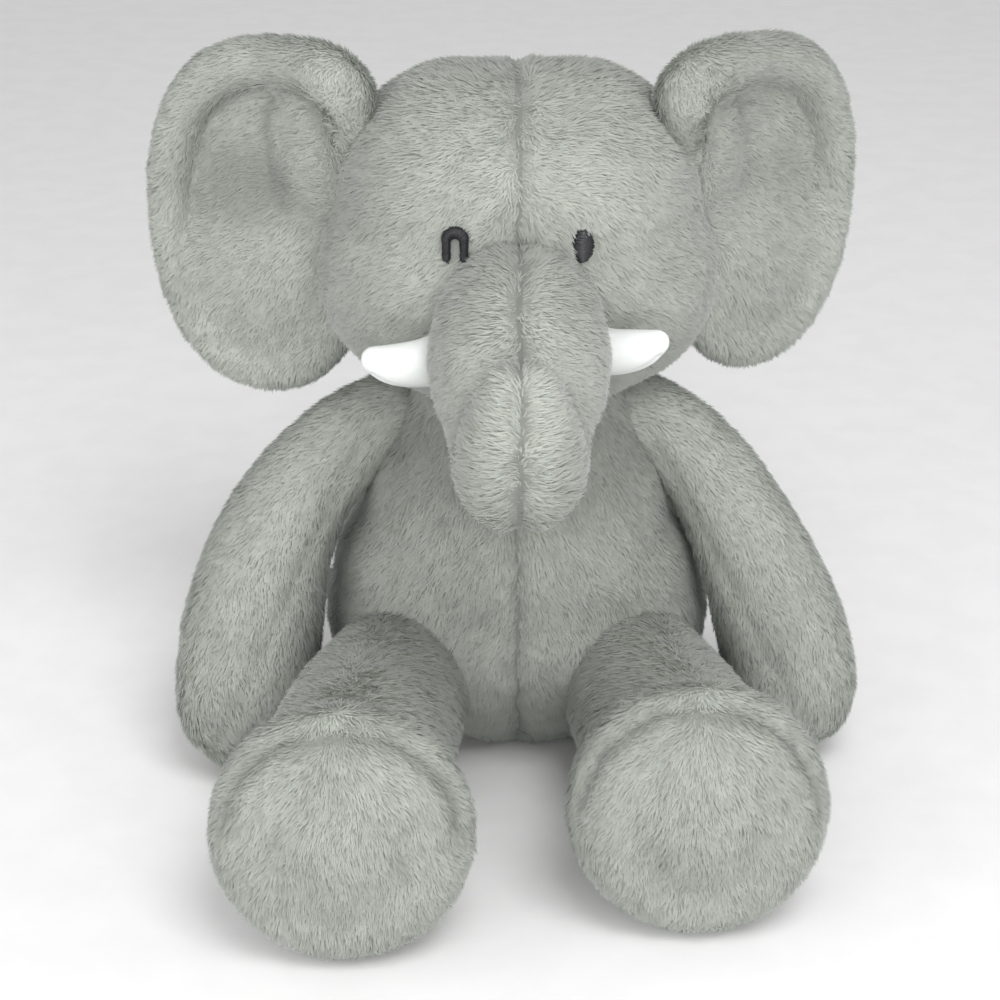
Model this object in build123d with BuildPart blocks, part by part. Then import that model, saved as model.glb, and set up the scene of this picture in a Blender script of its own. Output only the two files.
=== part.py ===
"""A seated stuffed elephant: short-pile plush panels sewn over stuffing, with sprung, sewn-on limbs.

Millimetres, +Z up, the toy looks along -Y and its left side is +X.
The origin is the centre of the flat seat, on the surface that the toy sits on.
"""
from build123d import *
import os
from functools import cache
from math import asin, atan2, cos, degrees, radians, sin

# ---------------------------------------------------------------- driving dimensions
cloth = 6.0                # plush cloth with its pile
seam_gap = 0.5             # between a ball and the seat it turns in
limb_step = 1.0            # between the two balls of an elbow or a bend

# body
base_ball_height, base_ball_radius = 48.0, 74.0
chest_ball_height, chest_ball_radius = 96.0, 49.0
neck_ball_height, neck_ball_radius = 118.0, 40.0
side_seam_y = 8.0          # where the belly panels meet the back panels
pouch_height, pouch_radius = 26.0, 36.0
label_width, label_length, label_thick = 14.0, 12.0, 1.2

# head
head_width, head_depth = 150.0, 131.0
head_centre = Vector(0, -2, 203)
head_front = head_centre.Y - head_depth / 2
head_seam_y = 14.0         # where the face panels meet the nape panels
eye_width, eye_height = 9.0, 12.6
eye_spacing, eye_level = 45.5, 217.0
eye_proud, eye_sunk = 1.0, 1.6

# trunk
trunk_top = Vector(0, head_front + 17.5, 190)
trunk_pivot = Vector(0, head_front - 27.5, 170)
trunk_bend = trunk_pivot + Vector(0, -30, -14)
trunk_tip = trunk_bend + Vector(0, -9, 26)
trunk_top_radius, trunk_collar_radius = 31.0, 30.5
trunk_ball_radius, trunk_bend_radius, trunk_tip_radius = 28.5, 25.0, 13.0
trunk_seat_angle = 36.0    # how far behind the ball's middle its seat ends

# tusks
tusk_root_x, tusk_root_y, tusk_root_z = 27.0, head_front + 5.5, 175.0
tusk_tip_x, tusk_tip_y, tusk_tip_z = 52.0, head_front - 8.5, 180.0
tusk_root_radius, tusk_tip_radius, tusk_cloth = 8.5, 4.5, 1.5

# ears: width and height of the pad, and the sewn edge that it hinges on
ear_width, ear_height, ear_thick = 92.0, 141.0, 20.0
ear_round = ear_thick / 2 - 1.5
ear_hinge_x, ear_hinge_y = head_width / 2 - 6.0, 9.0
ear_hinge_low, ear_hinge_high = 172.0, 238.0
ear_root_radius = 9.0
ear_reach = 30.0           # sewn edge to the middle of the pad
ear_middle = 200.0
ear_sweep = {"left": 36.0, "right": 14.0}
ear_web = 6.0              # cloth layers gathered between the root and the pad
ear_clearance = 7.0        # so that the pad swings without meeting the head

# arms
shoulder = Vector(56, -3, 127)
elbow = Vector(98, -32, 80)
hand = {"left": Vector(111, -42, 27.2), "right": Vector(111, -58, 27.2)}
shoulder_radius, elbow_radius, hand_radius = 14.0, 24.0, 27.0

# legs
hip = Vector(base_ball_radius * 54 / 74, -base_ball_radius * 61 / 74, 34)
hip_radius = 14.0
ankle_height, ankle_radius = 44.0, 34.0
ankle_back = 14.0          # from the middle of the foot back to the ankle
foot_x = {"left": 64.0, "right": 62.0}
sole_y = {"left": -176.0, "right": -192.0}
foot_radius, foot_depth, foot_tilt = 45.0, 44.0, 8.0
foot_round = foot_depth / 2 - 4.0
sole_depth = 11.0

# tail
tail_root = Vector(0, base_ball_radius + 2, 42)
tail_end = tail_root + Vector(0, 19, -12)
tail_root_radius, tail_end_radius, tail_cloth = 7.0, 5.0, 2.0
tuft_end = tail_end + Vector(0, 8, -10)
tuft_radius = 7.5

SIDES = {"left": 1, "right": -1}


# ---------------------------------------------------------------- shared forms
def mirrored(point, sign):
    """The point on the toy's left, or its mirror image on the right."""
    return Vector(point.X * sign, point.Y, point.Z)


def sack(start, end, start_radius, end_radius):
    """A rounded form that tapers from one ball to another."""
    run = end - start
    upright = Vector(1, 0, 0) if abs(run.X) < 0.5 * run.length else Vector(0, 0, 1)
    slope = degrees(asin((start_radius - end_radius) / run.length))
    with BuildPart() as form:
        with BuildSketch(Plane(origin=start, x_dir=run, z_dir=run.cross(upright))):
            with BuildLine():
                near = CenterArc((0, 0), start_radius, 90 - slope, 90 + slope)
                far = CenterArc((run.length, 0), end_radius, 0, 90 - slope)
                Line(near @ 0, far @ 1)
                Line(near @ 1, far @ 0)
            make_face()
        revolve(axis=Axis(start, run))
    return form.part


def bent_sack(start, bend, end, start_radius, bend_radius, end_radius):
    """Two sacks that meet at a bend."""
    step = (end - bend).normalized() * limb_step
    with BuildPart() as form:
        add(sack(start, bend, start_radius, bend_radius))
        add(sack(bend + step, end, bend_radius - limb_step / 2, end_radius))
    return form.part


def ball(centre, radius):
    """A ball about a joint's centre, with its seam turned away from the body."""
    turn = degrees(atan2(centre.Y, centre.X))
    with BuildPart() as form:
        with Locations(Location(centre, (0, 0, turn))):
            Sphere(radius)
    return form.part


@cache
def body_bulk(inset):
    """The body, flat where it sits, with the ball that carries the head."""
    with BuildPart() as form:
        add(sack(Vector(0, 0, base_ball_height), Vector(0, 0, chest_ball_height),
                 base_ball_radius - inset, chest_ball_radius - inset))
        add(ball(Vector(0, 0, neck_ball_height), neck_ball_radius - inset))
        split(bisect_by=Plane.XY.offset(inset), keep=Keep.TOP)
    return form.part


@cache
def head_bulk(inset):
    """The head, an egg on its side."""
    with BuildPart() as form:
        with BuildSketch(Plane(origin=head_centre, z_dir=(0, 0, 1))):
            with BuildLine():
                arc = EllipticalCenterArc(
                    (0, 0), head_width / 2 - inset, head_depth / 2 - inset, 0, arc_size=180)
                Line(arc @ 0, arc @ 1)
            make_face()
        revolve(axis=Axis(head_centre, (1, 0, 0)))
        add(ball(Vector(0, 0, neck_ball_height), neck_ball_radius + seam_gap + inset), mode=Mode.SUBTRACT)
    return form.part


@cache
def trunk_root_bulk(inset):
    """The swollen root of the trunk, between the face and the trunk's ball."""
    run = (trunk_pivot - trunk_top).normalized()
    rim = trunk_pivot - run * trunk_ball_radius * sin(radians(trunk_seat_angle))
    with BuildPart() as form:
        add(sack(trunk_top, trunk_pivot, trunk_top_radius - inset, trunk_collar_radius - inset))
        split(bisect_by=Plane(origin=rim - run * inset / 2, z_dir=run), keep=Keep.BOTTOM)
        add(ball(trunk_pivot, trunk_ball_radius + seam_gap + inset), mode=Mode.SUBTRACT)
        add(head_bulk(-inset), mode=Mode.SUBTRACT)
    return form.part


@cache
def trunk_bulk(inset):
    """The free end of the trunk: a ball, a run forward and the upturned end."""
    radii = (trunk_ball_radius - inset, trunk_bend_radius - inset, trunk_tip_radius - inset)
    return bent_sack(trunk_pivot, trunk_bend, trunk_tip, *radii)


def tusk_bulk(sign, inset):
    """One tusk, from the corner between the trunk and the cheek."""
    root = Vector(sign * tusk_root_x, tusk_root_y, tusk_root_z)
    tip = Vector(sign * tusk_tip_x, tusk_tip_y, tusk_tip_z)
    with BuildPart() as form:
        add(sack(root, tip, tusk_root_radius - inset, tusk_tip_radius - inset))
        add(head_bulk(-inset), mode=Mode.SUBTRACT)
        add(sack(trunk_top, trunk_pivot, trunk_top_radius + inset, trunk_collar_radius + inset),
            mode=Mode.SUBTRACT)
    return form.part


@cache
def arm_bulk(side, inset):
    """One arm, from the shoulder ball over the elbow to the hand."""
    sign = SIDES[side]
    top, bend, end = mirrored(shoulder, sign), mirrored(elbow, sign), mirrored(hand[side], sign)
    return bent_sack(top, bend, end, shoulder_radius - inset, elbow_radius - inset, hand_radius - inset)


def foot_plane(side):
    """The middle of the foot, facing out through the sole."""
    lean = radians(foot_tilt)
    flat_radius, flat_depth = foot_radius - foot_round, foot_depth / 2 - foot_round
    height = flat_radius * cos(lean) + flat_depth * sin(lean) + foot_round
    centre = Vector(SIDES[side] * foot_x[side], sole_y[side] + foot_depth / 2, height)
    return Plane(origin=centre, x_dir=(1, 0, 0), z_dir=(0, -cos(lean), sin(lean)))


@cache
def thigh_bulk(side, inset):
    """The thigh, from the hip ball into the back of the foot."""
    plane = foot_plane(side)
    ankle = Vector(plane.origin.X, sole_y[side] + foot_depth / 2 + ankle_back, ankle_height)
    return sack(mirrored(hip, SIDES[side]), ankle, hip_radius - inset, ankle_radius - inset)


@cache
def leg_bulk(side, inset):
    """One leg: thigh and the round foot."""
    with BuildPart() as form:
        with BuildSketch(foot_plane(side)):
            Circle(foot_radius - inset)
        extrude(amount=foot_depth / 2 - inset, both=True)
        fillet(form.edges().filter_by(GeomType.CIRCLE), foot_round - inset)
        add(thigh_bulk(side, inset))
    return form.part


def ear_plane(side):
    """The middle plane of one ear: X outwards from the sewn edge, Y up."""
    sign = SIDES[side]
    sweep = radians(ear_sweep[side])
    outward = Vector(sign * cos(sweep), sin(sweep), 0)
    return Plane(
        origin=(sign * ear_hinge_x, ear_hinge_y, ear_middle),
        x_dir=outward,
        z_dir=outward.cross(Vector(0, 0, 1)),
    )


def ear_axis_point(side):
    """A point on the ear's sewn edge."""
    return Vector(SIDES[side] * ear_hinge_x, ear_hinge_y, ear_hinge_low)


@cache
def ear_pad(side, inset):
    """The oval pad of one ear, with room to swing beside the head."""
    with BuildPart() as form:
        with BuildSketch(ear_plane(side)):
            with Locations((ear_reach, 0)):
                Ellipse(ear_width / 2 - inset, ear_height / 2 - inset)
        extrude(amount=ear_thick / 2 - inset, both=True)
        fillet(form.edges(), ear_round - inset)
        add(head_bulk(-ear_clearance - inset), mode=Mode.SUBTRACT)
    return form.part


@cache
def ear_bulk(side):
    """One ear: its pad, and the web that joins it to its rolled root."""
    low, high = ear_hinge_low - ear_middle, ear_hinge_high - ear_middle
    with BuildPart() as form:
        add(ear_pad(side, 0))
        with BuildSketch(ear_plane(side)):
            with Locations((0, low)):
                Rectangle(ear_reach, high - low, align=(Align.MIN, Align.MIN))
        extrude(amount=ear_web / 2, both=True)
        add(ear_root(side, 0))
    return form.part


def ear_root(side, growth):
    """The rolled root of one ear, along its sewn edge."""
    with BuildPart() as form:
        with BuildSketch(Plane(origin=ear_axis_point(side) - Vector(0, 0, growth), z_dir=(0, 0, 1))):
            Circle(ear_root_radius + growth)
        extrude(amount=ear_hinge_high - ear_hinge_low + 2 * growth)
    return form.part


@cache
def tail_bulk(inset):
    """The tail between its root and its tuft."""
    return sack(tail_root, tail_end, tail_root_radius - inset, tail_end_radius - inset)


def limb_seats(growth):
    """The hollows in the body where the limbs and the tail are sewn on."""
    balls = [ball(tail_root, tail_root_radius + growth)]
    for sign in SIDES.values():
        balls.append(ball(mirrored(shoulder, sign), shoulder_radius + growth))
        balls.append(ball(mirrored(hip, sign), hip_radius + growth))
    return balls


def save(name, builder):
    """Labels a finished piece and writes it."""
    builder.part.label = name
    export_step(builder.part, f"parts/{name}.step")


os.makedirs("parts", exist_ok=True)

# ---------------------------------------------------------------- body
with BuildPart() as body_outside:
    add(body_bulk(0))
    for seat in limb_seats(seam_gap):
        add(seat, mode=Mode.SUBTRACT)

with BuildPart() as body_inside:
    add(body_bulk(cloth))
    for seat in limb_seats(seam_gap + cloth):
        add(seat, mode=Mode.SUBTRACT)

with BuildPart() as body_skin:
    add(body_outside.part)
    add(body_inside.part, mode=Mode.SUBTRACT)
    split(bisect_by=Plane.XY.offset(cloth), keep=Keep.TOP)

front_seam = Plane(origin=(0, side_seam_y, 0), z_dir=(0, -1, 0))
for place, half in (("belly", Keep.TOP), ("back", Keep.BOTTOM)):
    for side, keep in (("left", Keep.TOP), ("right", Keep.BOTTOM)):
        with BuildPart() as body_panel:
            add(body_skin.part)
            split(bisect_by=front_seam, keep=half)
            split(bisect_by=Plane.YZ, keep=keep)
        save(f"{place}_{side}_panel", body_panel)

with BuildPart() as seat_panel:
    add(body_outside.part)
    split(bisect_by=Plane.XY.offset(cloth), keep=Keep.BOTTOM)
save("seat_panel", seat_panel)

with BuildPart() as seat_bead_pouch:
    with BuildSketch(Plane.XY.offset(cloth)):
        Circle(pouch_radius)
    extrude(amount=pouch_height)
    fillet(seat_bead_pouch.edges(), pouch_height / 3)
    add(body_inside.part, mode=Mode.INTERSECT)
save("seat_bead_pouch", seat_bead_pouch)

with BuildPart() as body_stuffing:
    add(body_inside.part)
    add(seat_bead_pouch.part, mode=Mode.SUBTRACT)
save("body_stuffing", body_stuffing)

# ---------------------------------------------------------------- head
eye_prisms = {}
for side, sign in SIDES.items():
    with BuildPart() as eye_prism:
        with BuildSketch(Plane(origin=(sign * eye_spacing / 2, head_centre.Y, eye_level), z_dir=(0, -1, 0))):
            Ellipse(eye_width / 2, eye_height / 2)
        extrude(amount=head_depth)
        add(head_bulk(eye_sunk), mode=Mode.SUBTRACT)
    eye_prisms[side] = eye_prism.part
    with BuildPart() as eye:
        add(eye_prism.part)
        add(head_bulk(-eye_proud), mode=Mode.INTERSECT)
        add(trunk_root_bulk(0), mode=Mode.SUBTRACT)
    save(f"eye_{side}", eye)

with BuildPart() as head_outside:
    add(head_bulk(0))
    for side in SIDES:
        add(ear_root(side, seam_gap), mode=Mode.SUBTRACT)

with BuildPart() as head_stuffing:
    add(head_bulk(cloth))
    for side in SIDES:
        add(ear_root(side, seam_gap + cloth / 2), mode=Mode.SUBTRACT)
save("head_stuffing", head_stuffing)

with BuildPart() as head_skin:
    add(head_outside.part)
    add(head_stuffing.part, mode=Mode.SUBTRACT)
    for side in SIDES:
        add(eye_prisms[side], mode=Mode.SUBTRACT)

ear_seam = Plane(origin=(0, head_seam_y, 0), z_dir=(0, -1, 0))
for place, half in (("face", Keep.TOP), ("nape", Keep.BOTTOM)):
    for side, keep in (("left", Keep.TOP), ("right", Keep.BOTTOM)):
        with BuildPart() as head_panel:
            add(head_skin.part)
            split(bisect_by=ear_seam, keep=half)
            split(bisect_by=Plane.YZ, keep=keep)
        save(f"{place}_{side}_panel", head_panel)

for side, sign in SIDES.items():
    with BuildPart() as tusk_filling:
        add(tusk_bulk(sign, tusk_cloth))
    save(f"tusk_{side}_filling", tusk_filling)
    with BuildPart() as tusk_cover:
        add(tusk_bulk(sign, 0))
        add(tusk_filling.part, mode=Mode.SUBTRACT)
    save(f"tusk_{side}_cover", tusk_cover)

# ---------------------------------------------------------------- trunk
for name, bulk in (("trunk_root", trunk_root_bulk), ("trunk_tip", trunk_bulk)):
    with BuildPart() as trunk_stuffing:
        add(bulk(cloth))
    save(f"{name}_stuffing", trunk_stuffing)
    for side, keep in (("left", Keep.TOP), ("right", Keep.BOTTOM)):
        with BuildPart() as trunk_panel:
            add(bulk(0))
            add(trunk_stuffing.part, mode=Mode.SUBTRACT)
            split(bisect_by=Plane.YZ, keep=keep)
        save(f"{name}_{side}_panel", trunk_panel)

# ---------------------------------------------------------------- ears
for side, sign in SIDES.items():
    with BuildPart() as ear_padding:
        add(ear_pad(side, cloth))
    save(f"ear_{side}_padding", ear_padding)
    front = Keep.TOP if sign > 0 else Keep.BOTTOM
    back = Keep.BOTTOM if sign > 0 else Keep.TOP
    for face, keep in (("front", front), ("back", back)):
        with BuildPart() as ear_panel:
            add(ear_bulk(side))
            add(ear_padding.part, mode=Mode.SUBTRACT)
            split(bisect_by=ear_plane(side), keep=keep)
        save(f"ear_{side}_{face}_panel", ear_panel)

# ---------------------------------------------------------------- arms
for side, sign in SIDES.items():
    with BuildPart() as arm_stuffing:
        add(arm_bulk(side, cloth))
    save(f"arm_{side}_stuffing", arm_stuffing)
    run = mirrored(hand[side], sign) - mirrored(shoulder, sign)
    arm_seam = Plane(origin=mirrored(elbow, sign), z_dir=run.cross(Vector(0, 1, 0)) * sign)
    for face, keep in (("outer", Keep.BOTTOM), ("inner", Keep.TOP)):
        with BuildPart() as arm_panel:
            add(arm_bulk(side, 0))
            add(arm_stuffing.part, mode=Mode.SUBTRACT)
            split(bisect_by=arm_seam, keep=keep)
        save(f"arm_{side}_{face}_panel", arm_panel)

# ---------------------------------------------------------------- legs
for side, sign in SIDES.items():
    with BuildPart() as leg_stuffing:
        add(leg_bulk(side, cloth))
    save(f"leg_{side}_stuffing", leg_stuffing)
    plane = foot_plane(side)
    sole_seam = Plane(origin=plane.origin + plane.z_dir * (foot_depth / 2 - sole_depth), z_dir=plane.z_dir)
    run = plane.origin - mirrored(hip, sign)
    leg_seam = Plane(origin=plane.origin, z_dir=run.cross(Vector(0, 0, 1)) * -sign)
    for face, keep in (("outer", Keep.TOP), ("inner", Keep.BOTTOM)):
        with BuildPart() as leg_panel:
            add(leg_bulk(side, 0))
            add(leg_stuffing.part, mode=Mode.SUBTRACT)
            split(bisect_by=sole_seam, keep=Keep.BOTTOM)
            split(bisect_by=leg_seam, keep=keep)
        save(f"leg_{side}_{face}_panel", leg_panel)
    with BuildPart() as sole:
        add(leg_bulk(side, 0))
        add(leg_stuffing.part, mode=Mode.SUBTRACT)
        split(bisect_by=sole_seam, keep=Keep.TOP)
    save(f"leg_{side}_sole", sole)

# ---------------------------------------------------------------- tail
with BuildPart() as tail_tuft:
    add(sack(tail_end, tuft_end, tail_end_radius + tail_cloth, tuft_radius))
    add(tail_bulk(0), mode=Mode.SUBTRACT)
save("tail_tuft", tail_tuft)

with BuildPart() as tail_stuffing:
    add(tail_bulk(tail_cloth))
save("tail_stuffing", tail_stuffing)

with BuildPart() as tail_cover:
    add(tail_bulk(0))
    add(tail_stuffing.part, mode=Mode.SUBTRACT)
save("tail_cover", tail_cover)

# ---------------------------------------------------------------- sewn-in label, blank
with BuildPart() as care_label:
    with BuildSketch(Plane.XZ.offset(-side_seam_y)):
        with Locations((-base_ball_radius, base_ball_height)):
            Rectangle(2 * label_length, label_width)
    extrude(amount=label_thick / 2, both=True)
    add(body_bulk(0), mode=Mode.SUBTRACT)
save("care_label", care_label)
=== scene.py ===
"""A seated plush elephant: stuffed forms, sewn panels, combed pile, cloth tusks and embroidered eyes."""
import math

import bmesh
import bpy
import numpy as np
from bpy.props import FloatProperty, FloatVectorProperty, IntProperty, PointerProperty
from mathutils import Matrix, Vector
from mathutils.bvhtree import BVHTree


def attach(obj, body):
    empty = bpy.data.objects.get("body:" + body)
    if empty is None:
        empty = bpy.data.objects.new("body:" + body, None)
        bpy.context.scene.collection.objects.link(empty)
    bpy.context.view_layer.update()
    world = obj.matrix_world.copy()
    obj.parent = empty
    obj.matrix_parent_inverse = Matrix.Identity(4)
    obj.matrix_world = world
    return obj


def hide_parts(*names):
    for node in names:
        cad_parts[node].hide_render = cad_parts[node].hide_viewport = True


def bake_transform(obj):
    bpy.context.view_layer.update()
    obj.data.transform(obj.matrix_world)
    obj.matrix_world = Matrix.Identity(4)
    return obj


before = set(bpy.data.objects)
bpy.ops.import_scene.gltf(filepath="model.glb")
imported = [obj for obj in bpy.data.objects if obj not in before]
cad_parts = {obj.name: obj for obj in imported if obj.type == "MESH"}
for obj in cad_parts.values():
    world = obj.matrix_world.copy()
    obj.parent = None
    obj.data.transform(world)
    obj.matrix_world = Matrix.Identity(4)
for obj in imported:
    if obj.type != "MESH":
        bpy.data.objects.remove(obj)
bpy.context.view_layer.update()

bl_info = {
    "name": "Plush elephant",
    "version": (1, 0, 0),
    "blender": (4, 5, 0),
    "location": "3D Viewport > Sidebar > Plush",
    "description": "Builds a stuffed elephant around its CAD frame",
    "category": "Add Mesh",
}

MM = 0.001
SIDES = {"left": 1, "right": -1}
PILE_MAP = "OFBake"      # across: tone of the tuft, up: root to tip


# ---------------------------------------------------------------- settings
class PlushSettings(bpy.types.PropertyGroup):
    """Sizes and colours of the toy."""
    pile_length: FloatProperty(name="Pile length", description="Length of one tuft",
                               default=4.6 * MM, unit="LENGTH")
    pile_width: FloatProperty(name="Pile width", description="Width of one tuft at its root",
                              default=0.82 * MM, unit="LENGTH")
    pile_density: FloatProperty(name="Tufts per square millimetre", description="How thick the pile is",
                                default=2.7)
    pile_lift: FloatProperty(name="Pile lift", description="How far the tufts stand off the cloth",
                             default=math.radians(22), subtype="ANGLE")
    pile_seed: IntProperty(name="Pile seed", description="Start of the random numbers", default=7)
    seam_depth: FloatProperty(name="Seam depth", description="How deep the thread pulls a seam in",
                              default=2.2 * MM, unit="LENGTH")
    seam_width: FloatProperty(name="Seam width", description="How wide the valley of a seam is",
                              default=3.4 * MM, unit="LENGTH")
    cloth_thick: FloatProperty(name="Cloth", description="Thickness of the backing cloth",
                               default=1.2 * MM, unit="LENGTH")
    voxel: FloatProperty(name="Voxel", description="Grain of the stuffed forms",
                         default=2.4 * MM, unit="LENGTH")
    # the root colour is partly the cloth's own colour and partly painted shade deep in the pile
    root_colour: FloatVectorProperty(name="Pile root", description="Colour deep in the pile",
                                     subtype="COLOR", default=(0.455, 0.477, 0.437))
    tip_colour: FloatVectorProperty(name="Pile tip", description="Colour of the tips",
                                    subtype="COLOR", default=(0.71, 0.74, 0.685))
    tusk_colour: FloatVectorProperty(name="Tusk cloth", description="Colour of the tusks",
                                     subtype="COLOR", default=(0.215, 0.223, 0.219))
    thread_colour: FloatVectorProperty(name="Eye thread", description="Colour of the embroidery",
                                       subtype="COLOR", default=(0.0025, 0.0025, 0.0035))


def settings():
    return bpy.context.scene.plush


# ---------------------------------------------------------------- materials
class Value:
    """A shader socket that takes arithmetic."""

    def __init__(self, nodes, socket):
        self.nodes = nodes
        self.socket = socket

    def _math(self, operation, first, second):
        return self.nodes.add("ShaderNodeMath", {"operation": operation}, {0: first, 1: second})

    def __add__(self, other):
        return self._math("ADD", self, other)

    def __mul__(self, other):
        return self._math("MULTIPLY", self, other)

    __radd__ = __add__
    __rmul__ = __mul__


class Nodes:
    """The node tree of one material."""

    def __init__(self, name):
        self.material = bpy.data.materials.new(name)
        self.material.use_nodes = True
        self.tree = self.material.node_tree
        self.shader = self.tree.nodes["Principled BSDF"]

    def add(self, kind, options=None, inputs=None, output=0):
        node = self.tree.nodes.new(kind)
        for key, value in (options or {}).items():
            if key == "stops":
                ramp = node.color_ramp
                while len(ramp.elements) < len(value):
                    ramp.elements.new(0.5)
                for element, (place, colour) in zip(ramp.elements, value):
                    element.position = place
                    element.color = (*colour, 1)
            else:
                setattr(node, key, value)
        for key, value in (inputs or {}).items():
            self.put(node.inputs[key], value)
        return Value(self, node.outputs[output])

    def put(self, socket, value):
        if isinstance(value, Value):
            self.tree.links.new(value.socket, socket)
        else:
            socket.default_value = value

    def surface(self, **inputs):
        for key, value in inputs.items():
            self.put(self.shader.inputs[key.replace("_", " ")], value)
        return self.material


def mixed(a, b, share):
    return tuple(x + (y - x) * share for x, y in zip(a, b))


def plush_material():
    """Pile: dark between the tufts as painted shade, pale at the tips, a tone for each tuft."""
    s = settings()
    nodes = Nodes("plush_pile")
    place = nodes.add("ShaderNodeUVMap", {"uv_map": PILE_MAP})
    split = nodes.add("ShaderNodeSeparateXYZ", None, {0: place})
    tone, along = split, Value(nodes, split.socket.node.outputs[1])
    root, tip = tuple(s.root_colour), tuple(s.tip_colour)
    black, white, middle = (0, 0, 0), (1, 1, 1), 0.45
    # the dark ramp takes the low tones: random darker tufts, and the painted shade of seams, the chin, the ear
    # dish and the trunk fold; its roots go toward black as painted shade
    dark = nodes.add("ShaderNodeValToRGB", {"stops": (
        (0.0, mixed(root, black, 0.5)), (middle, mixed(root, black, 0.25)),
        (1.0, mixed(root, tip, 0.3)))}, {0: along})
    pale = nodes.add("ShaderNodeValToRGB", {"stops": (
        (0.0, root), (middle, mixed(root, tip, 0.7)), (1.0, mixed(tip, white, 0.13)))}, {0: along})
    colour = nodes.add("ShaderNodeMix", {"data_type": "RGBA"}, {0: tone, 6: dark, 7: pale}, 2)
    nodes.surface(Base_Color=colour, Roughness=0.8, Sheen_Weight=0.3, Sheen_Roughness=0.4,
                  Specular_IOR_Level=0.2)
    through = nodes.add("ShaderNodeBsdfTranslucent", None, {"Color": (*mixed(root, tip, 0.6), 1)})
    light_let_through = 0.38
    both = nodes.add("ShaderNodeMixShader", None,
                     {0: light_let_through, 1: Value(nodes, nodes.shader.outputs[0]), 2: through})
    nodes.put(nodes.tree.nodes["Material Output"].inputs["Surface"], both)
    return nodes.material


def tusk_material():
    """Brushed white cloth, with its fine weave."""
    nodes = Nodes("tusk_cloth")
    place = nodes.add("ShaderNodeTexCoord", None, None, 3)
    weave = nodes.add("ShaderNodeTexNoise", {"noise_dimensions": "3D"},
                      {"Vector": place, "Scale": 1500.0, "Detail": 2.0})
    cloud = nodes.add("ShaderNodeTexNoise", None, {"Vector": place, "Scale": 90.0, "Detail": 3.0})
    white = tuple(settings().tusk_colour)
    colour = nodes.add("ShaderNodeValToRGB", {"stops": (
        (0.3, mixed(white, (0.5, 0.53, 0.55), 0.22)), (0.7, white))}, {0: cloud * 0.7 + weave * 0.3})
    bump = nodes.add("ShaderNodeBump", None, {"Strength": 0.35, "Distance": 0.0004, "Height": weave})
    return nodes.surface(Base_Color=colour, Roughness=0.85, Normal=bump, Specular_IOR_Level=0.2)


def thread_material():
    """Black rayon embroidery thread, glossy along its twist."""
    nodes = Nodes("eye_thread")
    place = nodes.add("ShaderNodeTexCoord", None, None, 3)
    twist = nodes.add("ShaderNodeTexNoise", None, {"Vector": place, "Scale": 1800.0, "Detail": 2.0})
    black = tuple(settings().thread_colour)
    # the faint lilac lighter stop along the twist is a painted sheen on the black thread
    colour = nodes.add("ShaderNodeValToRGB", {"stops": (
        (0.35, black), (0.75, mixed(black, (0.10, 0.09, 0.12), 0.12)))}, {0: twist})
    bump = nodes.add("ShaderNodeBump", None, {"Strength": 0.3, "Distance": 0.0002, "Height": twist})
    return nodes.surface(Base_Color=colour, Roughness=twist * 0.2 + 0.45, Normal=bump, Specular_IOR_Level=0.06)


def soft_material(name, colour, scale):
    """A plain soft finish for what is inside: fibre, pouch and ribbon."""
    nodes = Nodes(name)
    place = nodes.add("ShaderNodeTexCoord", None, None, 3)
    noise = nodes.add("ShaderNodeTexNoise", None, {"Vector": place, "Scale": scale, "Detail": 4.0})
    shade = nodes.add("ShaderNodeValToRGB", {"stops": (
        (0.3, mixed(colour, (0, 0, 0), 0.25)), (0.7, colour))}, {0: noise})
    bump = nodes.add("ShaderNodeBump", None, {"Strength": 0.5, "Distance": 0.0008, "Height": noise})
    return nodes.surface(Base_Color=shade, Roughness=0.9, Normal=bump)


# ---------------------------------------------------------------- stuffed forms
def finished(name, mesh, material):
    """A mesh as an object at the origin, with one material."""
    piece = bpy.data.objects.new(name, mesh)
    bpy.context.collection.objects.link(piece)
    mesh.materials.clear()
    mesh.materials.append(material)
    return piece


def lobes_along(points, step=0.22):
    """Balls along a path: (x, y, z, radius) in millimetres at each point."""
    out = []
    for (a, b) in zip(points, points[1:]):
        a, b = np.array(a, float), np.array(b, float)
        count = max(2, int(np.linalg.norm((b - a)[:3]) / (step * min(a[3], b[3]))))
        for t in np.linspace(0, 1, count, endpoint=False):
            out.append(a + (b - a) * t)
    out.append(np.array(points[-1], float))
    return [(p[0], p[1], p[2], p[3], p[3], p[3]) for p in out]


def smooth_path(points, count):
    """A Catmull-Rom line of (x, y, z, radius) through the points."""
    p = np.array([points[0], *points, points[-1]], float)
    out = []
    for i in range(1, len(p) - 2):
        for t in np.linspace(0, 1, count, endpoint=False):
            a, b, c, d = p[i - 1], p[i], p[i + 1], p[i + 2]
            out.append(0.5 * (2 * b + (c - a) * t + (2 * a - 5 * b + 4 * c - d) * t * t
                              + (3 * b - a - 3 * c + d) * t ** 3))
    out.append(p[-2])
    return [tuple(q) for q in out]


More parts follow.
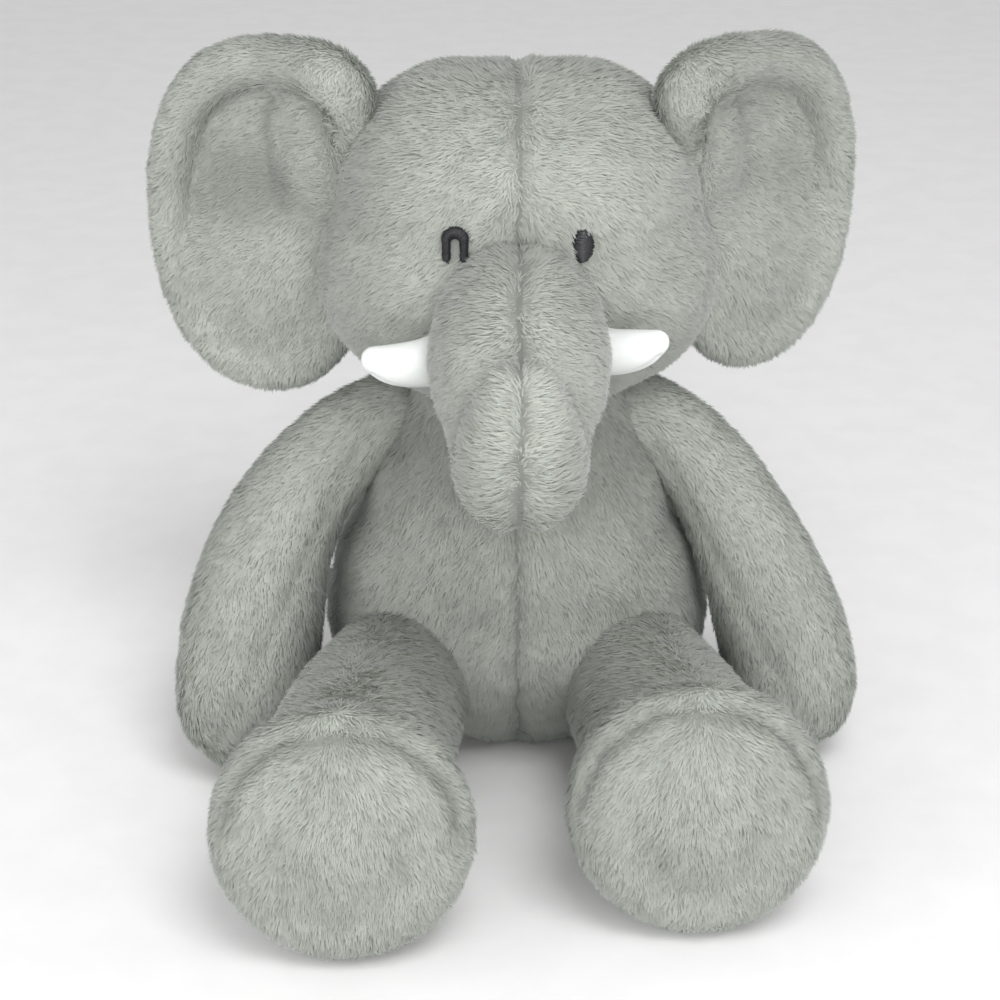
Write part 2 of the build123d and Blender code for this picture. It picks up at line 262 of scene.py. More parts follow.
def stuffed(name, lobes, turn=None, relax=12, flat=None, grain=1.0):
    """One closed form from balls and eggs that are merged, remeshed and relaxed.

    A lobe is (x, y, z, rx, ry, rz) in millimetres; turn places the whole form.
    """
    bm = bmesh.new()
    for x, y, z, rx, ry, rz in lobes:
        place = Matrix.Translation((x * MM, y * MM, z * MM)) @ Matrix.Diagonal((rx * MM, ry * MM, rz * MM, 1))
        bmesh.ops.create_icosphere(bm, subdivisions=3, radius=1, matrix=place)
    if turn is not None:
        bmesh.ops.transform(bm, matrix=turn, verts=bm.verts)
    mesh = bpy.data.meshes.new(name)
    bm.to_mesh(mesh)
    bm.free()
    rough = bpy.data.objects.new(name, mesh)
    bpy.context.collection.objects.link(rough)
    remesh = rough.modifiers.new("remesh", "REMESH")
    remesh.mode = "VOXEL"
    remesh.voxel_size = settings().voxel * grain
    relaxed = rough.modifiers.new("relax", "SMOOTH")
    relaxed.factor = 0.5
    relaxed.iterations = relax
    graph = bpy.context.evaluated_depsgraph_get()
    result = bpy.data.meshes.new_from_object(rough.evaluated_get(graph))
    bpy.data.objects.remove(rough)
    bpy.data.meshes.remove(mesh)
    result.name = name
    if flat is not None:
        points = read_points(result)
        low = points[:, 2] < flat * MM
        points[low, 2] = flat * MM + (points[low, 2] - flat * MM) * 0.02
        write_points(result, points)
    return result


def read_points(mesh):
    out = np.empty(len(mesh.vertices) * 3, np.float32)
    mesh.vertices.foreach_get("co", out)
    return out.reshape(-1, 3).astype(float)


def read_normals(mesh):
    out = np.empty(len(mesh.vertices) * 3, np.float32)
    mesh.vertices.foreach_get("normal", out)
    return out.reshape(-1, 3).astype(float)


def write_points(mesh, points):
    mesh.vertices.foreach_set("co", points.astype(np.float32).ravel())
    mesh.update()


def pressed(mesh, valleys):
    """Pulls seams and creases in.

    A valley is (distance function in metres, depth scale, width scale).
    """
    s = settings()
    points, normals = read_points(mesh), read_normals(mesh)
    sink = np.zeros(len(points))
    for distance, depth, width in valleys:
        reach = distance(points) / (s.seam_width * width)
        sink = np.maximum(sink, s.seam_depth * depth * np.exp(-reach * reach))
    write_points(mesh, points - normals * sink[:, None])
    return mesh


def plane_distance(point, normal):
    """Distance from a plane given in millimetres."""
    p, n = np.array(point, float) * MM, np.array(normal, float)
    n = n / np.linalg.norm(n)
    return lambda v: (v - p) @ n


def crease_distance(points):
    """Distance from a line of points given in millimetres."""
    line = np.array(points, float) * MM

    def distance(v):
        best = np.full(len(v), 1e9)
        for a, b in zip(line, line[1:]):
            run = b - a
            t = np.clip(((v - a) @ run) / (run @ run), 0, 1)
            best = np.minimum(best, np.linalg.norm(v - a - t[:, None] * run, axis=1))
        return best
    return distance


# ---------------------------------------------------------------- pile
def value_noise(points, scale, seed):
    """Smooth noise from 0 to 1 at points, with cells of the scale in metres."""
    rng = np.random.default_rng(seed)
    table = rng.random(4096)
    mix = (73856093, 19349663, 83492791)       # large primes that scatter the cells over the table
    q = points / scale
    base = np.floor(q).astype(np.int64)
    f = q - base
    f = f * f * (3 - 2 * f)
    out = np.zeros(len(points))
    for dx in (0, 1):
        for dy in (0, 1):
            for dz in (0, 1):
                h = ((base[:, 0] + dx) * mix[0]) ^ ((base[:, 1] + dy) * mix[1]) ^ ((base[:, 2] + dz) * mix[2])
                w = (np.where(dx, f[:, 0], 1 - f[:, 0]) * np.where(dy, f[:, 1], 1 - f[:, 1])
                     * np.where(dz, f[:, 2], 1 - f[:, 2]))
                out += w * table[h & 4095]
    return out


def unit(v):
    return v / np.maximum(np.linalg.norm(v, axis=1, keepdims=True), 1e-9)


def panel_faces(mesh, keep):
    """The mesh's triangles whose middle passes the test."""
    mesh.calc_loop_triangles()
    triangles = np.empty(len(mesh.loop_triangles) * 3, np.int32)
    mesh.loop_triangles.foreach_get("vertices", triangles)
    triangles = triangles.reshape(-1, 3)
    points = read_points(mesh)
    return triangles[keep(points[triangles].mean(axis=1))]


def plush_panel(name, form, keep, comb, seams=(), clear=None, length=1.0, density=1.0,
                tone=lambda v: 0.0):
    """One sewn panel: the backing cloth of the form where keep is true, and its combed pile."""
    s = settings()
    triangles = panel_faces(form, keep)
    points, normals = read_points(form), read_normals(form)
    # backing cloth, two layers joined along its edge
    used, index = np.unique(triangles, return_inverse=True)
    index = index.reshape(-1, 3)
    outer, outer_n = points[used], normals[used]
    sides = np.concatenate([index[:, [0, 1]], index[:, [1, 2]], index[:, [2, 0]]])
    _, first_seen, uses = np.unique(np.sort(sides, axis=1), axis=0, return_index=True, return_counts=True)
    edge = sides[first_seen[uses == 1]]
    lower = len(used)
    cloth_points = np.concatenate([outer, outer - outer_n * s.cloth_thick])
    cloth_normals = np.concatenate([outer_n, -outer_n])
    cloth_tris = np.concatenate([
        index, index[:, ::-1] + lower,
        np.stack([edge[:, 1], edge[:, 0], edge[:, 0] + lower], axis=1),
        np.stack([edge[:, 1], edge[:, 0] + lower, edge[:, 1] + lower], axis=1)])
    # tuft roots
    rng = np.random.default_rng(s.pile_seed + sum(map(ord, name)))
    a, b, c = (points[triangles[:, i]] for i in range(3))
    area = np.linalg.norm(np.cross(b - a, c - a), axis=1) / 2
    share = 1.0
    count = int(area.sum() * 1e6 * s.pile_density * density * share)
    face = rng.choice(len(triangles), count, p=area / area.sum())
    u, v = rng.random(count), rng.random(count)
    over = u + v > 1
    u[over], v[over] = 1 - u[over], 1 - v[over]
    w = 1 - u - v
    root = a[face] * w[:, None] + b[face] * u[:, None] + c[face] * v[:, None]
    na, nb, nc = (normals[triangles[face, i]] for i in range(3))
    normal = unit(na * w[:, None] + nb * u[:, None] + nc * v[:, None])
    if clear is not None:
        open_to_pile = ~clear(root)
        root, normal, face = root[open_to_pile], normal[open_to_pile], face[open_to_pile]
        count = len(root)
    # combing: the nap, swirls, clumps, and the parting along each seam
    flow = unit(comb(root))
    wander = np.stack([value_noise(root, 11 * MM, 11 + i) - 0.5 for i in range(3)], axis=1)
    clump = np.stack([value_noise(root, 3.2 * MM, 31 + i) - 0.5 for i in range(3)], axis=1)
    flow = flow + wander * 0.8 + clump * 0.75 + rng.normal(0, 0.16, (count, 3))
    valley = np.zeros(count)
    parting, step = 3.2 * MM, 0.4 * MM
    for distance in seams:
        d = distance(root)
        near = np.exp(-(d / parting) ** 2)
        push = np.stack([distance(root + np.eye(3)[i] * step) - d for i in range(3)], axis=1) / step
        push *= np.sign(d)[:, None]
        flow = flow * (1 - 0.25 * near)[:, None] + push * (0.35 * near)[:, None]
        valley = np.maximum(valley, near)
    tangent = unit(flow - normal * np.sum(flow * normal, axis=1, keepdims=True))
    side = np.cross(normal, tangent)
    lift = s.pile_lift * (0.75 + 0.6 * rng.random(count)) + 0.25 * (value_noise(root, 4 * MM, 51) - 0.5)
    reach = s.pile_length * length * (0.72 + 0.5 * rng.random(count)) * (1 - 0.12 * valley)
    wide = s.pile_width * (0.7 + 0.6 * rng.random(count)) * 1.0
    twist = rng.normal(0, 0.45, count)
    across = unit(side * np.cos(twist)[:, None] + normal * np.sin(twist)[:, None])
    rise, run = np.sin(lift)[:, None], np.cos(lift)[:, None]
    start = root - normal * 0.5 * MM
    tip = start + (tangent * run + normal * rise) * reach[:, None]
    # tone: a value per tuft and slow drifts over the cloth, less painted shade in each seam valley, plus the
    # panel's own tone
    drift, fleck = value_noise(root, 17 * MM, 71) - 0.5, value_noise(root, 2.4 * MM, 72) - 0.5
    shade = (0.66 + 0.35 * drift + 0.55 * fleck
             + rng.normal(0, 0.055, count) - 0.4 * valley + tone(root))
    shade = np.clip(shade, 0.03, 0.97)
    half = (across * wide[:, None]) / -2
    tufts = np.stack([start - half, start + half, tip], axis=1)
    tuft_normal = unit(normal + tangent * 0.18)
    mesh = bpy.data.meshes.new(name)
    cloth_count = len(cloth_points)
    all_points = np.concatenate([cloth_points, tufts.reshape(-1, 3)])
    loops = np.concatenate([cloth_tris.ravel(), cloth_count + np.arange(count * 3)])
    faces = len(cloth_tris) + count
    mesh.vertices.add(len(all_points))
    mesh.vertices.foreach_set("co", all_points.astype(np.float32).ravel())
    mesh.loops.add(len(loops))
    mesh.loops.foreach_set("vertex_index", loops.astype(np.int32))
    mesh.polygons.add(faces)
    mesh.polygons.foreach_set("loop_start", np.arange(faces, dtype=np.int32) * 3)
    mesh.polygons.foreach_set("use_smooth", np.ones(faces, bool))
    mesh.update(calc_edges=True)
    # the map: each triangle is a sliver at its own tone, from root to tip
    cloth_middle = cloth_points[cloth_tris].mean(axis=1)
    cloth_tone = 0.42 + 0.4 * (value_noise(cloth_middle, 9 * MM, 73) - 0.5)
    # painted shade: the backing cloth darkens along each seam line
    for distance in seams:
        cloth_tone -= 0.6 * np.exp(-(distance(cloth_middle) / (1.2 * MM)) ** 2)
    cloth_tone = np.clip(cloth_tone, 0.03, 0.95)
    small, cloth_along = 0.01, 0.16
    cloth_uv = np.stack([cloth_tone[:, None] + np.array([-small, small, 0]),
                         cloth_along + np.zeros(len(cloth_tris))[:, None] + np.array([0, 0, small])], axis=2)
    tuft_uv = np.stack([shade[:, None] + np.array([-small, small, 0]),
                        np.tile([0.02, 0.02, 0.98], (count, 1))], axis=2)
    uv = mesh.uv_layers.new(name=PILE_MAP)
    uv.data.foreach_set("uv", np.concatenate(
        [cloth_uv.reshape(-1, 2), tuft_uv.reshape(-1, 2)]).astype(np.float32).ravel())
    all_normals = np.concatenate([cloth_normals, np.repeat(tuft_normal, 3, axis=0)])
    mesh.normals_split_custom_set_from_vertices(all_normals.astype(np.float32))
    mesh.validate()
    return finished(name, mesh, bpy.data.materials["plush_pile"])


def stuffing(name, form, body, node, inset=3.5):
    """The filling under the cloth: the form drawn in, coarse and closed."""
    mesh = form.copy()
    write_points(mesh, read_points(mesh) - read_normals(mesh) * inset * MM)
    piece = finished(name, mesh, bpy.data.materials["stuffing_fibre"])
    fewer = piece.modifiers.new("fewer", "DECIMATE")
    fewer.ratio = 0.12
    graph = bpy.context.evaluated_depsgraph_get()
    thin = bpy.data.meshes.new_from_object(piece.evaluated_get(graph))
    piece.modifiers.clear()
    piece.data = thin
    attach(piece, body)
    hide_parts(node)
    return piece


def sew(piece, body, *nodes, slot="plush"):
    """Hangs a panel on its body, in place of its CAD nodes."""
    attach(piece, body)
    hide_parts(*nodes)
    return piece


def level(value):
    """A tone that is the same all over."""
    return lambda v: value


def patch(middle, radius, value):
    """A tone that fades out from a place in millimetres."""
    spot = np.array(middle, float) * MM
    return lambda v: value * np.exp(-np.sum(((v - spot) / (np.array(radius) * MM)) ** 2, axis=1))


def on_side(v, sign):
    """True on the toy's left for 1, and on its right for -1."""
    return (v[:, 0] >= 0) == (sign > 0)


def steady(*direction):
    """A comb direction that is the same all over."""
    way = np.array(direction, float)
    return lambda v: np.tile(way, (len(v), 1))


def along_path(points):
    """A comb direction that follows a path of points in millimetres, from its start to its end."""
    line = np.array(points, float)[:, :3] * MM

    def comb(v):
        best = np.full(len(v), 1e9)
        out = np.zeros_like(v)
        for a, b in zip(line, line[1:]):
            run = b - a
            t = np.clip(((v - a) @ run) / (run @ run), 0, 1)
            d = np.linalg.norm(v - a - t[:, None] * run, axis=1)
            near = d < best
            best[near] = d[near]
            out[near] = run / np.linalg.norm(run)
        return out
    return comb


# ---------------------------------------------------------------- the toy's own forms, in millimetres
SIDE_SEAM_Y = 10                   # belly in front of it, back behind it
EAR_SEAM_Y = 18                    # face in front of it, nape behind it
FLOOR_GAP = 0.6                    # how far the cloth stays above the floor
CHEEK_LEVEL = 186
EYE = (22.9, 212.0, 4.9, 6.7)      # middle x and z, half width, half height
THREAD_RADIUS, THICK_THREAD_RADIUS = 0.16 * MM, 0.21 * MM      # in metres
TRUNK_ROOT = [(0, -34, 186, 26), (0, -56, 184.5, 29), (0, -76, 180.5, 31.5), (0, -90, 175.5, 30.5)]
TRUNK_END = [(0, -88, 172, 26), (0, -107, 160, 24), (0, -122, 156.5, 22.5), (0, -133, 164, 21.5),
             (0, -142, 179, 17.5), (0, -146, 191, 12)]
TRUNK_FOLD = [(-25, -116, 158), (-23, -119, 172), (-15, -124, 186), (0, -127, 193), (15, -124, 186),
              (23, -119, 172), (25, -116, 158)]
ARM_PATH = {
    "left": [(47, 2, 127, 15.5), (62, -3, 118, 17), (78, -11, 102, 18.5), (92, -22, 78, 21.5),
             (102, -32, 54, 24.5), (107, -38, 34, 25.5), (107, -42, 28, 25.5)],
    "right": [(49, 2, 127, 15.5), (65, -4, 118, 18), (83, -13, 102, 20), (97, -25, 78, 23.5),
              (103.5, -38, 52, 27), (105.5, -48, 34, 27), (105.5, -54, 28, 26.5)],
}
FOOT = {"left": (61.5, -160), "right": (60.5, -176)}
FOOT_LEAN = math.radians(9)
EAR = {"left": (34, 203.5, 58.0, 25), "right": (13, 200.5, 61.5, 14)}      # sweep, middle, half height, roll


def x_seam(v):
    """Distance from the middle seam, which wanders a little."""
    return v[:, 0] + 0.8 * MM * np.sin(v[:, 2] * 260 + 1.4 * np.sin(v[:, 2] * 150))


class ToyBuilder(bpy.types.Operator):
    """Base for the operators that build the toy."""
    bl_options = {"REGISTER", "UNDO"}


class PLUSH_OT_materials(ToyBuilder):
    """Makes the toy's finishes and gives the CAD nodes theirs"""
    bl_idname = "plush.materials"
    bl_label = "Materials"

    def execute(self, context):
        plush_material()
        tusk_material()
        thread_material()
        soft_material("stuffing_fibre", (0.80, 0.80, 0.78), 260.0)
        soft_material("bead_pouch_cloth", (0.62, 0.60, 0.55), 700.0)
        soft_material("label_ribbon", (0.78, 0.78, 0.76), 900.0)
        finishes = {"seat_bead_pouch": "bead_pouch_cloth", "care_label": "label_ribbon"}
        for node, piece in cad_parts.items():
            name = finishes.get(node, "stuffing_fibre")
            for slot in piece.material_slots:
                slot.material = bpy.data.materials[name]
        return {"FINISHED"}


class PLUSH_OT_body(ToyBuilder):
    """Builds the pear-shaped body: belly, back and seat panels"""
    bl_idname = "plush.body"
    bl_label = "Body"

    def execute(self, context):
        lobes = lobes_along(smooth_path([(0, 0, 52, 66), (0, -1, 74, 62), (0, -1, 98, 54), (0, 0, 122, 45)], 6))
        lobes += [(0, -2, 44, 77, 68, 50), (0, 2, 60, 74, 66, 50), (0, 0, 96, 60, 52, 44)]
        form = stuffed("body_form", lobes, relax=24, flat=FLOOR_GAP)
        side = plane_distance((0, SIDE_SEAM_Y, 0), (0, 1, 0))
        pressed(form, [(x_seam, 0.9, 1.0), (side, 0.7, 1.0),
                       (crease_distance([(0, -66, 20), (0, -50, 4)]), 2.2, 2.2)])
        seams = (x_seam, side)

        def comb(v):
            out = np.tile([0.0, 0.0, -1.0], (len(v), 1))
            out[:, 0] = np.tanh(v[:, 0] / (9 * MM)) * 0.3
            out[:, 1] = np.where(v[:, 2] < 0.012, -0.4 * np.sign(-v[:, 1]), 0)
            return out
        seat_top = 4 * MM
        # painted shadow of the head and trunk on the chest under the chin
        painted_chin_shadow = patch((0, -46, 124), (80, 45, 19), -1.0)
        for place, front in (("belly", True), ("back", False)):
            for name, sign in SIDES.items():
                def keep(m, front=front, sign=sign):
                    return ((m[:, 1] < SIDE_SEAM_Y * MM) == front) & on_side(m, sign) & (m[:, 2] > seat_top)
                node = f"{place}_{name}_panel"
                sew(plush_panel(f"{node}_plush", form, keep, comb, seams, tone=painted_chin_shadow), "torso", node)
        under = plush_panel("seat_panel_plush", form, lambda m: m[:, 2] <= seat_top, steady(0.2, 1, 0), (),
                            length=0.55, density=0.4)
        sew(under, "torso", "seat_panel")
        stuffing("body_stuffing_fibre", form, "torso", "body_stuffing")
        return {"FINISHED"}


class PLUSH_OT_head(ToyBuilder):
    """Builds the broad head with full cheeks and its middle furrow"""
    bl_idname = "plush.head"
    bl_label = "Head"

    def execute(self, context):
        lobes = []
        for sign in SIDES.values():
            lobes += [(sign * 21, 3, 213, 48, 56, 53), (sign * 26, -6, CHEEK_LEVEL + 1, 49.5, 49, 45),
                      (sign * 14, -14, 172, 44, 40, 33)]
        lobes += [(0, 8, 205, 60, 54, 58), (0, 2, 213, 50, 56, 53.5), (0, -10, 186, 58, 50, 42)]
        form = stuffed("head_form", lobes, relax=22)
        ear_seam = plane_distance((0, EAR_SEAM_Y, 0), (0, 1, 0))
        pressed(form, [(x_seam, 0.65, 1.0), (ear_seam, 0.8, 1.0)])
        seams = (x_seam, ear_seam)

        def comb(v):
            out = np.zeros_like(v)
            out[:, 0] = np.tanh(v[:, 0] / (9 * MM)) * 0.9
            out[:, 1] = np.where(v[:, 1] < EAR_SEAM_Y * MM, 0.35, 0.2)
            out[:, 2] = -0.75
            return out

        def under_eye(v):
            across = (np.abs(v[:, 0]) - EYE[0] * MM) / (EYE[2] * MM)
            upward = (v[:, 2] - (EYE[1] + 1.0) * MM) / (EYE[3] * MM)
            return (across ** 2 + upward ** 2 < 1) & (v[:, 1] < 0)
        for place, front in (("face", True), ("nape", False)):
            for name, sign in SIDES.items():
                def keep(m, front=front, sign=sign):
                    return ((m[:, 1] < EAR_SEAM_Y * MM) == front) & on_side(m, sign)
                node = f"{place}_{name}_panel"
                sew(plush_panel(f"{node}_plush", form, keep, comb, seams, clear=under_eye), "head", node)
        stuffing("head_stuffing_fibre", form, "head", "head_stuffing")
        return {"FINISHED"}


class PLUSH_OT_trunk(ToyBuilder):
    """Builds the trunk, which runs forward from the face and turns up at its end"""
    bl_idname = "plush.trunk"
    bl_label = "Trunk"

    def execute(self, context):
        lobes = lobes_along(smooth_path(TRUNK_ROOT, 7)) + lobes_along(smooth_path(TRUNK_END, 7))
        form = stuffed("trunk_form", lobes, relax=9)
        fold = crease_distance(TRUNK_FOLD)
        pressed(form, [(x_seam, 0.7, 0.9), (fold, 2.2, 1.3)])

        # painted shade along the fold where the trunk's end turns up, on a small lift of the whole trunk's tone
        def tone(v):
            return 0.2 - 1.1 * np.exp(-(fold(v) / (5 * MM)) ** 2)

        def comb(v):
            out = np.zeros_like(v)
            out[:, 0] = np.tanh(v[:, 0] / (6 * MM)) * 0.9
            out[:, 1] = 0.25
            out[:, 2] = np.where(v[:, 1] < -0.115, 0.15, -0.7)
            return out
        for name, sign in SIDES.items():
            piece = plush_panel(f"trunk_{name}_plush", form, lambda m, sign=sign: on_side(m, sign), comb,
                                (x_seam,), tone=tone)
            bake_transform(piece)
            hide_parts(f"trunk_root_{name}_panel", f"trunk_tip_{name}_panel")
        mesh = form.copy()
        write_points(mesh, read_points(mesh) - read_normals(mesh) * 3.5 * MM)
        fibre = finished("trunk_stuffing_fibre", mesh, bpy.data.materials["stuffing_fibre"])
        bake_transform(fibre)
        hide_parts("trunk_root_stuffing", "trunk_tip_stuffing")
        return {"FINISHED"}


class PLUSH_OT_ears(ToyBuilder):
    """Builds the two big ears: a dished pad with a puffy rolled rim"""
    bl_idname = "plush.ears"
    bl_label = "Ears"

    def execute(self, context):
        for name, sign in SIDES.items():
            lean, middle_z, tall, inward = EAR[name]
            sweep = math.radians(lean)
            out = Vector((sign * math.cos(sweep), math.sin(sweep), 0))
            front = Vector((math.sin(sweep) * sign, -math.cos(sweep), 0))
            turn = Matrix((
                (out.x, front.x, 0, sign * 66 * MM),
                (out.y, front.y, 0, 9 * MM),
                (0, 0, 1, middle_z * MM),
                (0, 0, 0, 1)))
            rim = []
            roll_place, roll_spread = math.radians(126), math.radians(26)
            for angle in np.linspace(0, 2 * math.pi, 72, endpoint=False):
                c, s = math.cos(angle), math.sin(angle)
                thick = 8.2 + 1.6 * max(0.0, s) - 0.8 * max(0.0, -c)
                across = 37.5 * math.copysign(abs(c) ** 0.92, c)
                upward = tall * math.copysign(abs(s) ** 0.92, s)
                roll = math.exp(-((angle - roll_place) / roll_spread) ** 2)
                thick += 2.2 * roll
                rim.append((33 + across - inward * roll, 1.5 + 1.5 * s + 13 * roll, upward + 8 * roll,
                            thick, thick, thick))
            dish = [(33, -4.0, 0, 38, 5.6, tall - 2), (33, -1.0, -24, 38, 8.0, tall - 26),
                    (26, -5.0, 8, 32, 7.0, tall - 8), (6, -2, 0, 22, 7.5, 40),
                    (20 - 0.9 * inward, 4, 0.60 * tall, 20, 6.5, 24),
                    (14 - 0.5 * inward, 2, 0.42 * tall, 20, 7, 26)]
            form = stuffed(f"ear_{name}_form", rim + dish, turn, relax=10)
            middle = plane_distance(tuple(c / MM for c in turn.translation), tuple(front))

            def keep_front(m, middle=middle):
                return middle(m) > -1.5 * MM

            root = np.array(turn.translation)
            way = np.array(out)
            # painted shade in the ear's dish, much darker on the right ear, where the pile lies the other way
            dish_painted_shade = patch((sign * 102, 12, 216), (20, 40, 13), -1.1 if name == "right" else -0.3)

            def comb(v, root=root, way=way):
                out_way = unit((v - root) * np.array([1, 1, 0.7]))
                return out_way * 0.8 + np.array([0, 0, -0.8]) + way * 0.2
            for face, keep in (("front", keep_front), ("back", lambda m, k=keep_front: ~k(m))):
                node = f"ear_{name}_{face}_panel"
                sew(plush_panel(f"{node}_plush", form, keep, comb, (), length=0.92,
                                tone=dish_painted_shade if face == "front" else level(-0.05)), f"ear_{name}", node)
            stuffing(f"ear_{name}_stuffing_fibre", form, f"ear_{name}", f"ear_{name}_padding", inset=2.6)
        return {"FINISHED"}


class PLUSH_OT_arms(ToyBuilder):
    """Builds the arms, bowed out at the elbow and resting on the floor"""
    bl_idname = "plush.arms"
    bl_label = "Arms"

    def execute(self, context):
        for name, sign in SIDES.items():
            path = [(sign * x, y, z, r) for x, y, z, r in smooth_path(ARM_PATH[name], 6)]
            form = stuffed(f"arm_{name}_form", lobes_along(path), relax=15, flat=FLOOR_GAP)
            run = np.array(path[-1][:3]) - np.array(path[0][:3])
            normal = np.cross(run, (0, 1, 0)) * -sign
            elbow = path[len(path) // 2]
            seam = plane_distance((elbow[0] - sign * 13, elbow[1], elbow[2]), normal)
            pressed(form, [(seam, 0.45, 0.9)])
            for face, inner in (("outer", False), ("inner", True)):
                def keep(m, seam=seam, inner=inner):
                    return (seam(m) < 0) == inner
                node = f"arm_{name}_{face}_panel"
                sew(plush_panel(f"{node}_plush", form, keep, along_path(path)), f"arm_{name}", node)
            stuffing(f"arm_{name}_stuffing_fibre", form, f"arm_{name}", f"arm_{name}_stuffing")
        return {"FINISHED"}


class PLUSH_OT_legs(ToyBuilder):
    """Builds the legs: short thighs and broad round feet, soles to the front"""
    bl_idname = "plush.legs"
    bl_label = "Legs"

    def execute(self, context):
        for name, sign in SIDES.items():
            x, y = FOOT[name]
            x *= sign
            foot = (x, y, 44.5)
            lobes = lobes_along(smooth_path([
                (sign * 44, -40, 33, 28), (sign * 51, -70, 34, 31), (sign * 56, -100, 37, 33),
                (x, y + 12, 42, 37)], 6))
            face_out = np.array([0, -math.cos(FOOT_LEAN), math.sin(FOOT_LEAN)])
            face_up = np.array([0, math.sin(FOOT_LEAN), math.cos(FOOT_LEAN)])
            for angle in np.linspace(0, 2 * math.pi, 48, endpoint=False):
                spot = np.array(foot) + 28 * (math.cos(angle) * np.array([1, 0, 0]) + math.sin(angle) * face_up)
                lobes.append((*spot, 17, 17, 17))
            lobes += [(*foot, 34, 18.5, 34), (x, y + 4, 44, 40, 20, 40)]
            form = stuffed(f"leg_{name}_form", lobes, relax=14, flat=FLOOR_GAP)
            sole_spot = np.array(foot) + face_out * 10
            ring = plane_distance(tuple(sole_spot), tuple(face_out))
            run = np.array(foot) - np.array([sign * 44, -40, 33])
            seam = plane_distance(foot, tuple(np.cross(run, (0, 0, 1)) * -sign))

            def arc(v, ring=ring):
                return np.hypot(ring(v), np.maximum(0, 58 * MM - v[:, 2]) * 0.45)
            pressed(form, [(arc, 0.9, 1.0)])
            top = np.array(foot) * MM + np.array([0, 0, 0.028])

            def sole_comb(v, top=top):
                return unit(v - top) + np.array([0, 0, -0.6])

            def thigh_comb(v, middle=x * MM):
                out = np.tile([0.0, -0.25, -0.8], (len(v), 1))
                out[:, 0] = np.clip((v[:, 0] - middle) / (20 * MM), -1, 1) * 0.8
                return out
            for face, outer in (("outer", True), ("inner", False)):
                def keep(m, seam=seam, ring=ring, outer=outer):
                    return ((seam(m) > 0) == outer) & (ring(m) < 0)
                node = f"leg_{name}_{face}_panel"
                sew(plush_panel(f"{node}_plush", form, keep, thigh_comb, (arc,)), f"leg_{name}", node)
            node = f"leg_{name}_sole"
            sole = plush_panel(f"{node}_plush", form, lambda m, ring=ring: ring(m) >= 0, sole_comb, (arc,),
                               tone=level(-0.2))
            sew(sole, f"leg_{name}", node)
            stuffing(f"leg_{name}_stuffing_fibre", form, f"leg_{name}", f"leg_{name}_stuffing")
        return {"FINISHED"}


class PLUSH_OT_tail(ToyBuilder):
    """Builds the short tail and its tuft"""
    bl_idname = "plush.tail"
    bl_label = "Tail"

    def execute(self, context):
        path = [(0, 62, 46, 7.5), (0, 78, 40, 6.5), (0, 95, 30, 5), (0, 101, 24, 5.5), (0, 104, 19, 5)]
        form = stuffed("tail_form", lobes_along(smooth_path(path, 5)), relax=5, grain=0.6)
        comb = along_path(path)
        tuft_start = plane_distance((0, 96, 29), (0, 0.7, -0.7))
        sew(plush_panel("tail_cover_plush", form, lambda m: tuft_start(m) < 0, comb, length=0.8), "tail",
            "tail_cover")
        sew(plush_panel("tail_tuft_plush", form, lambda m: tuft_start(m) >= 0, comb, length=1.35, density=2.0,
                        tone=level(-0.15)), "tail", "tail_tuft")
        stuffing("tail_stuffing_fibre", form, "tail", "tail_stuffing", inset=2.0)
        return {"FINISHED"}


class PLUSH_OT_tusks(ToyBuilder):
    """Builds the two short tusks of smooth white cloth"""
    bl_idname = "plush.tusks"
    bl_label = "Tusks"

    def execute(self, context):
        paths = {
            "left": [(20, -58, 178, 9.0), (31, -67, 177, 8.8), (42, -73, 180, 7.4), (49, -76, 184, 4.6)],
            "right": [(-20, -58, 176, 9.4), (-32, -68, 173.5, 9.2), (-44, -75, 175, 7.6),
                      (-51.5, -78, 178, 5.0)],
        }
        for name, path in paths.items():
            form = stuffed(f"tusk_{name}_form", lobes_along(smooth_path(path, 5)), relax=10, grain=0.4)
            under = crease_distance([(x, y - radius * 0.5, z - radius) for x, y, z, radius in path])
            pressed(form, [(under, 0.5, 0.4)])
            cover = finished(f"tusk_{name}_cloth", form, bpy.data.materials["tusk_cloth"])
            for face in form.polygons:
                face.use_smooth = True
            sew(cover, "head", f"tusk_{name}_cover", slot="tusk_cloth")
            filling = form.copy()
            write_points(filling, read_points(filling) - read_normals(filling) * 1.2 * MM)
            core = finished(f"tusk_{name}_fibre", filling, bpy.data.materials["stuffing_fibre"])
            sew(core, "head", f"tusk_{name}_filling", slot="stuffing_fibre")
        return {"FINISHED"}


